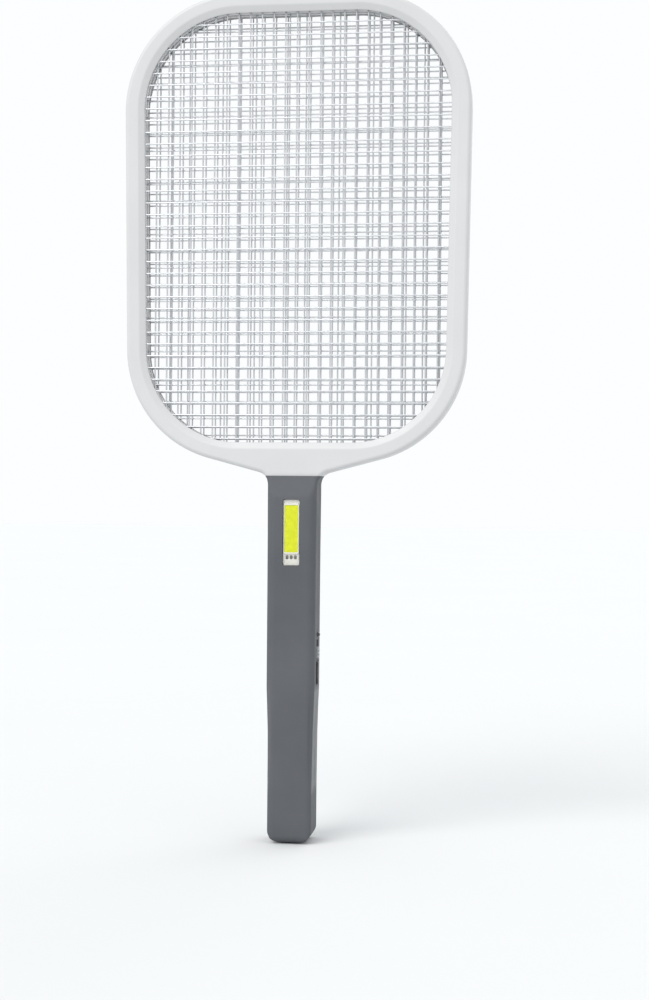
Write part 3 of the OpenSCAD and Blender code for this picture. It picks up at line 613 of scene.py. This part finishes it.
def section(z):
    """Half of the handle's cross-section from the side seam to its middle, corners eased."""
    w, top = outline_w(z), limit_v(z)
    side_top = min(crown_v(w), top)
    pts = [(w - 0.15, 0.0), (w, 0.2), (w, side_top)]
    for x, v in CROWN[1:-1]:
        if x < w - 0.3:
            pts.append((x, min(v, top)))
    pts.append((0.0, top))
    eased = [pts[0], pts[1]]
    for a, b, c in zip(pts[1:], pts[2:], pts[3:] + [None]):
        if c is None:
            break
        la, lc = math.dist(a, b), math.dist(b, c)
        if la < 1e-6 or lc < 1e-6:
            continue
        r = min(1.1, la * 0.45, lc * 0.45)
        p = (b[0] + (a[0] - b[0]) * r / la, b[1] + (a[1] - b[1]) * r / la)
        q = (b[0] + (c[0] - b[0]) * r / lc, b[1] + (c[1] - b[1]) * r / lc)
        for i in range(5):
            t = i / 4
            eased.append(((1 - t) ** 2 * p[0] + 2 * t * (1 - t) * b[0] + t * t * q[0],
                          (1 - t) ** 2 * p[1] + 2 * t * (1 - t) * b[1] + t * t * q[1]))
    eased.append(pts[-1])
    return resample(eased, 40)


def resample(pts, n):
    lengths = [0.0]
    for a, b in zip(pts, pts[1:]):
        lengths.append(lengths[-1] + math.dist(a, b))
    out = []
    for i in range(n + 1):
        # the last 40 % of the points lie closer, over the last 13 % of the way
        s = i / n
        s = s * 1.45 if s < 0.6 else 0.87 + (s - 0.6) * 0.325
        d = min(1.0, s) * lengths[-1]
        k = max(j for j in range(len(lengths)) if lengths[j] <= d + 1e-9)
        if k >= len(pts) - 1:
            out.append(pts[-1])
            continue
        t = (d - lengths[k]) / (lengths[k + 1] - lengths[k])
        out.append((pts[k][0] + (pts[k + 1][0] - pts[k][0]) * t,
                    pts[k][1] + (pts[k + 1][1] - pts[k][1]) * t))
    return out


def stations():
    low = [BUTT + BUTT_R * (1 - math.cos(math.radians(a))) for a in range(0, 91, 6)]
    mid = [BUTT + BUTT_R + (94 - BUTT - BUTT_R) * i / 70 for i in range(1, 71)]
    high = [94 + (BORDER - 94) * i / 20 for i in range(1, 21)]
    return low + mid + high


def handle_shell(name, side):
    bm = bmesh.new()
    rows = []
    for z in stations():
        half = section(z)
        full = half + [(-x, v) for x, v in reversed(half[:-1])]
        rows.append([bm.verts.new((x, z, v)) for x, v in full])
    for a, b in zip(rows, rows[1:]):
        for i in range(len(a) - 1):
            bm.faces.new((a[i], a[i + 1], b[i + 1], b[i]))
    bm.faces.new(rows[0])
    obj = finish_mesh(bm, name, side)
    # the sheet thickens inwards
    centre = sum((p.normal.y for p in obj.data.polygons if abs(p.normal.y) > 0.9), 0.0)
    if centre * side < 0:
        obj.data.flip_normals()
    solid = obj.modifiers.new("Wall", "SOLIDIFY")
    solid.thickness = SHELL_WALL * MM
    solid.offset = -1
    solid.use_even_offset = True
    apply_all(obj)

    add = bmesh.new()
    if side < 0:
        prism(add, rectangle(-6.3, 6.3, LAMP_Z - 20.8, LAMP_Z + 20.8), 9.2, LAMP_BACK)
    for x, z in HANDLE_SCREWS:
        prism(add, circle(x, z, 2.6), 0.05, 12.0 if z < TONGUE_LOW else 10.6)
    carve(obj, add, name + "_bosses", "UNION", side)

    cut = bmesh.new()
    for (z0, z1), half_slot in (KNOB_SLOT, BUTTON_SLOT):
        prism(cut, rectangle(SLOT_FROM, SLOT_TO, z0, z1), -1.0, half_slot)
    carve(obj, cut, name + "_slots", "DIFFERENCE", side)
    cut = bmesh.new()
    screw_holes(cut, HANDLE_SCREWS, side, HANDLE_HOLES)
    if side < 0:
        # the lamp's opening, and the hollow behind its board
        prism(cut, rounded(9.7, 38.4, 1.0, 0, LAMP_Z), 11.0, 14.0, 0.55, 13.05)
        prism(cut, rectangle(-3.4, 3.4, LAMP_Z - 17, LAMP_Z + 17), 5.0, 11.5)
    carve(obj, cut, name + "_holes", "DIFFERENCE", side)

    # the charge indicator's hole through the side wall, and the charging socket's through the butt
    hole = bmesh.new()
    bmesh.ops.create_cone(hole, cap_ends=True, segments=40, radius1=1.55, radius2=1.55, depth=9,
                          matrix=Matrix.Translation((15, INDICATOR_Z, 0))
                          @ Matrix.Rotation(math.radians(90), 4, "Y"))
    carve(obj, hole, name + "_indicator", "DIFFERENCE", side)
    mouth = bmesh.new()
    outline = rounded(9.24, 3.56, 1.7)
    near = [mouth.verts.new((x, BUTT - 1, y)) for x, y in outline]
    far = [mouth.verts.new((x, BUTT + 4, y)) for x, y in outline]
    bridge(mouth, near, far)
    mouth.faces.new(list(reversed(near)))
    mouth.faces.new(far)
    carve(obj, mouth, name + "_socket", "DIFFERENCE", side)
    if side < 0:
        for s in (-1, 1):
            carve(obj, scoop(s), name + "_scoop", "DIFFERENCE", side)
    soften(obj, 0.12)
    apply_all(obj)
    dress(obj, "grip_plastic")
    stand_for(obj, "handle_front" if side < 0 else "handle_rear")
    return obj


def scoop(s):
    """The long shallow hollow for the fingers: a cylinder segment tilted 40 degrees."""
    bm = bmesh.new()
    c, t = math.cos(math.radians(40)), math.sin(math.radians(40))
    base, out, across = (12.8, -44.0, 12.0), (c, 0.0, t), (-t, 0.0, c)
    lines = []
    n = 72
    for i in range(n + 1):
        y = -33 + 66 * i / n
        lines.append((y, y * y / 1200 - 0.8))
    lines += [(33, 5.0), (-33, 5.0)]
    rows = []
    for k in (-9.0, 9.0):
        rows.append([bm.verts.new((s * (base[0] + out[0] * d + across[0] * k), base[1] + y,
                                   base[2] + out[2] * d + across[2] * k)) for y, d in lines])
    bridge(bm, rows[0], rows[1])
    bm.faces.new(list(reversed(rows[0])))
    bm.faces.new(rows[1])
    return bm


# ---------------------------------------------------------------- lamp
def plate(name, w, h, r, z, low, high, ease, dome=0.0):
    """A rounded plate whose front edge is eased and whose front may be crowned."""
    bm = bmesh.new()
    loops = [add_loop(bm, rounded(w, h, r, 0, z), low)]
    for i in range(6):
        t = math.radians(90 * i / 5)
        e = ease * (1 - math.cos(t))
        loops.append(add_loop(bm, rounded(w - 2 * e, h - 2 * e, max(0.05, r - e), 0, z),
                              high - dome - ease * (1 - math.sin(t))))
    if dome:
        for i in range(1, 7):
            k = i / 7
            e = ease + (w / 2 - ease - 0.3) * k
            corner = max(0.03, (r - ease) * (1 - k))
            loops.append(add_loop(bm, rounded(w - 2 * e, h - 2 * e, corner, 0, z),
                                  high - dome + dome * math.sin(k * math.pi / 2)))
    for a, b in zip(loops, loops[1:]):
        bridge(bm, a, b)
    bm.faces.new(list(reversed(loops[0])))
    bm.faces.new(loops[-1])
    return finish_mesh(bm, name)


def rim_piece(name, outer, inner, z, low, high):
    bm = bmesh.new()
    (w, h, r), (iw, ih, ir) = outer, inner
    wall = (w - iw) / 2
    loops = [add_loop(bm, rounded(w, h, r, 0, z), low)]
    for i in range(9):
        t = math.pi * i / 8
        k = (1 - math.cos(t)) / 2
        loops.append(add_loop(bm, rounded(w - 2 * wall * k, h - (h - ih) * k, r + (ir - r) * k, 0, z),
                              high - 0.3 + 0.3 * math.sin(t)))
    loops.append(add_loop(bm, rounded(iw, ih, ir, 0, z), low))
    for i in range(len(loops)):
        bridge(bm, loops[i], loops[(i + 1) % len(loops)])
    return finish_mesh(bm, name)


SOLDER_Z = 62.4


def blobs(name):
    """Three domed solder joints."""
    bm = bmesh.new()
    for x in (-2.4, 0.0, 2.4):
        loops = []
        for i in range(7):
            t = math.radians(84 * i / 6)
            k = math.cos(t)
            loops.append(add_loop(bm, rounded(1.8 * k, 2.4 * k, 0.75 * k, x, SOLDER_Z, 6),
                                  LAMP_BACK + 0.3 * math.sin(t)))
        for a, b in zip(loops, loops[1:]):
            bridge(bm, a, b)
        bm.faces.new(list(reversed(loops[0])))
        bm.faces.new(loops[-1])
    return finish_mesh(bm, name)


# ---------------------------------------------------------------- side controls, in mm as X, Y, Z
def solid_from(bm, name):
    for v in bm.verts:
        v.co = v.co * MM
    return as_object(bm, name)


def extrude_y(bm, pts, y0, y1):
    near = [bm.verts.new((x, y0, z)) for x, z in pts]
    far = [bm.verts.new((x, y1, z)) for x, z in pts]
    bridge(bm, near, far)
    bm.faces.new(list(reversed(near)))
    bm.faces.new(far)


def block(bm, low, high):
    extrude_y(bm, rectangle(low[0], high[0], low[2], high[2]), low[1], high[1])


def join(obj, bm, name):
    tool = solid_from(bm, name)
    mod = obj.modifiers.new(name, "BOOLEAN")
    mod.operation = "UNION"
    mod.solver = "EXACT"
    mod.object = tool
    apply_all(obj)
    bpy.data.objects.remove(tool)
    shade(obj)


def knob(name):
    low, high = box_mm("slide_switch_knob")
    z0, z1, out = low[2] + 0.7, high[2] - 0.7, high[0]
    mid = (z0 + z1) / 2
    ridge = [(11.5, z0), (out - 0.5, z0), (out - 0.15, z0 + 0.15), (out, z0 + 0.5)]
    for dz in (-2.2, 0.0, 2.2):
        ridge += [(out - 0.55 * math.sin(math.radians(a)), mid + dz - 0.55 * math.cos(math.radians(a)))
                  for a in range(0, 181, 18)]
    ridge += [(out, z1 - 0.5), (out - 0.15, z1 - 0.15), (out - 0.5, z1), (11.5, z1)]
    bm = bmesh.new()
    extrude_y(bm, ridge, -2.0, 2.0)
    obj = solid_from(bm, name)
    flange = bmesh.new()
    block(flange, (11.0, low[1], low[2]), (12.0, high[1], high[2]))
    join(obj, flange, name + "_flange")
    pin = bmesh.new()
    block(pin, (low[0], -0.75, mid - 0.75), (11.4, 0.75, mid + 0.75))
    join(obj, pin, name + "_pin")
    soften(obj, 0.18, 3)
    apply_all(obj)
    dress(obj, "knob_grey")
    stand_for(obj, "slide_switch_knob", "switch_knob")


def button(name):
    low, high = box_mm("zap_button")
    z0, z1, out = low[2] + 0.8, high[2] - 0.8, high[0]
    mid = (z0 + z1) / 2
    # its face is dished a little for the finger
    face = [(out - 0.5, z0), (out - 0.15, z0 + 0.2), (out, z0 + 0.7)]
    n = 16
    for i in range(1, n):
        t = -1 + 2 * i / n
        face.append((out - 0.22 * (1 - t * t), mid + t * (z1 - z0 - 1.4) / 2))
    face += [(out, z1 - 0.7), (out - 0.15, z1 - 0.2), (out - 0.5, z1)]
    bm = bmesh.new()
    extrude_y(bm, [(11.5, z0)] + face + [(11.5, z1)], -2.6, 2.6)
    obj = solid_from(bm, name)
    flange = bmesh.new()
    block(flange, (11.2, low[1], low[2]), (12.1, high[1], high[2]))
    join(obj, flange, name + "_flange")
    stem = bmesh.new()
    bmesh.ops.create_cone(stem, cap_ends=True, segments=40, radius1=1.4, radius2=1.4,
                          depth=11.7 - low[0],
                          matrix=Matrix.Translation(((low[0] + 11.7) / 2, 0, mid))
                          @ Matrix.Rotation(math.radians(90), 4, "Y"))
    join(obj, stem, name + "_stem")
    soften(obj, 0.35, 4)
    apply_all(obj)
    dress(obj, "button_dark")
    stand_for(obj, "zap_button", "button")


def indicator(name):
    low, high = box_mm("charge_indicator")
    mid = (low[2] + high[2]) / 2
    profile = [(low[0], 1.8), (low[0] + 1, 1.8), (low[0] + 1, 1.5), (high[0] - 1.5, 1.5)]
    profile += [(high[0] - 1.5 + 1.5 * math.sin(math.radians(a)), 1.5 * math.cos(math.radians(a)))
                for a in range(9, 86, 9)]
    bm = bmesh.new()
    n = 40
    turns = [2 * math.pi * i / n for i in range(n)]
    rows = [[bm.verts.new((x, r * math.cos(t), mid + r * math.sin(t))) for t in turns]
            for x, r in profile]
    for a, b in zip(rows, rows[1:]):
        bridge(bm, a, b)
    bm.faces.new(list(reversed(rows[0])))
    tip = bm.verts.new((high[0], 0, mid))
    for i in range(n):
        bm.faces.new((rows[-1][i], rows[-1][(i + 1) % n], tip))
    obj = solid_from(bm, name)
    weigh(obj)
    dress(obj, "indicator_lens")
    stand_for(obj, "charge_indicator")


head_shell("head_shell_front", -1)
head_shell("head_shell_rear", 1)
spacer("net_spacer_front", -1, "front_spacer_ring")
spacer("net_spacer_rear", 1, "rear_spacer_ring")
handle_shell("grip_shell_front", -1)
handle_shell("grip_shell_rear", 1)

STRIP_Z = 79.0
cover = plate("lamp_cover", 9.6, 38.3, 0.95, LAMP_Z, 12.7, 13.4, 0.25)
dress(cover, "lamp_clear")
stand_for(cover, "lamp_window")
strip = plate("led_strip", 7.98, 27.58, 0.6, STRIP_Z, LAMP_BACK, 12.55, 0.15, 0.25)
dress(strip, "phosphor")
stand_for(strip, "lamp_phosphor")
rim = rim_piece("led_rim", (9.2, 29.6, 1.0), (8.0, 27.6, 0.6), STRIP_Z, LAMP_BACK, 12.7)
dress(rim, "lamp_white")
stand_for(rim, "lamp_dam")
joints = blobs("led_solder")
dress(joints, "solder")
stand_for(joints, "lamp_solder_pads")

knob("switch_thumb_piece")
button("press_piece")
indicator("indicator_piece")

# CAD pieces whose shape is right get eased edges
for node, width in (("frame_screws", 0.08), ("handle_screws", 0.08), ("usb_socket_shell", 0.05),
                    ("usb_tongue", 0.08), ("lamp_board", 0.08), ("slide_switch_body", 0.15)):
    soften(nodes[node], width)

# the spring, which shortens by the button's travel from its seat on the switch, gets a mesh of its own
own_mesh(nodes["button_spring"])

# ---------------------------------------------------------------- floor, light and camera
floor_mesh = bpy.data.meshes.new("studio_floor")
bm = bmesh.new()
bmesh.ops.create_grid(bm, x_segments=4, y_segments=4, size=12.0)
bm.to_mesh(floor_mesh)
bm.free()
floor = bpy.data.objects.new("studio_floor", floor_mesh)
floor.location = (0, 0, BUTT * MM - 0.0005)
bpy.context.scene.collection.objects.link(floor)
floor_mat, tree, shader, at = new_material("Studio floor")
tree.links.new(ramp(tree, noise(tree, at, 3, 3), (0.672, 0.683, 0.690), (0.680, 0.691, 0.698)),
               shader.inputs["Base Color"])
shader.inputs["Roughness"].default_value = 0.9
shader.inputs["Specular IOR Level"].default_value = 0.1
floor_mesh.materials.append(floor_mat)

world = bpy.data.worlds.new("Studio")
bpy.context.scene.world = world
world.use_nodes = True
world.node_tree.nodes["Background"].inputs["Color"].default_value = (0.975, 0.99, 1.0, 1)
world.node_tree.nodes["Background"].inputs["Strength"].default_value = 1.0


def sun(name, towards, strength, angle, colour=(1, 1, 1)):
    data = bpy.data.lights.new(name, "SUN")
    data.energy = strength
    data.angle = math.radians(angle)
    data.color = colour
    lamp = bpy.data.objects.new(name, data)
    lamp.rotation_euler = Vector(towards).to_track_quat("-Z", "Y").to_euler()
    bpy.context.scene.collection.objects.link(lamp)


# soft light from the upper left in front, and a weak one from behind
sun("Key", (0.40, 0.60, -0.70), 1.6, 38, (1.0, 0.99, 0.97))
sun("Back", (-0.35, -0.75, -0.6), 0.5, 50)

# the picture is 0.5905 m high in the plane of the swatter
VIEW_HEIGHT = 0.5905
SENSOR = 36
camera_data = bpy.data.cameras.new("Camera")
camera = bpy.data.objects.new("Camera", camera_data)
bpy.context.scene.collection.objects.link(camera)
bpy.context.scene.camera = camera
DISTANCE, YAW, ROLL = 1.0, 7.5, 0.5
aim = Vector((0.0178, 0, 0.0960))
camera_data.sensor_fit = "VERTICAL"
camera_data.sensor_height = SENSOR
camera_data.lens = SENSOR * DISTANCE / VIEW_HEIGHT
camera_data.clip_start = 0.05
camera_data.clip_end = 60
turn = math.radians(YAW)
camera.location = aim + Vector((math.sin(turn), -math.cos(turn), 0)) * DISTANCE
look = (aim - camera.location).to_track_quat("-Z", "Y").to_matrix().to_4x4()
camera.matrix_world = (Matrix.Translation(camera.location) @ look
                       @ Matrix.Rotation(math.radians(ROLL), 4, "Z"))
bpy.context.scene.view_settings.view_transform = "Standard"
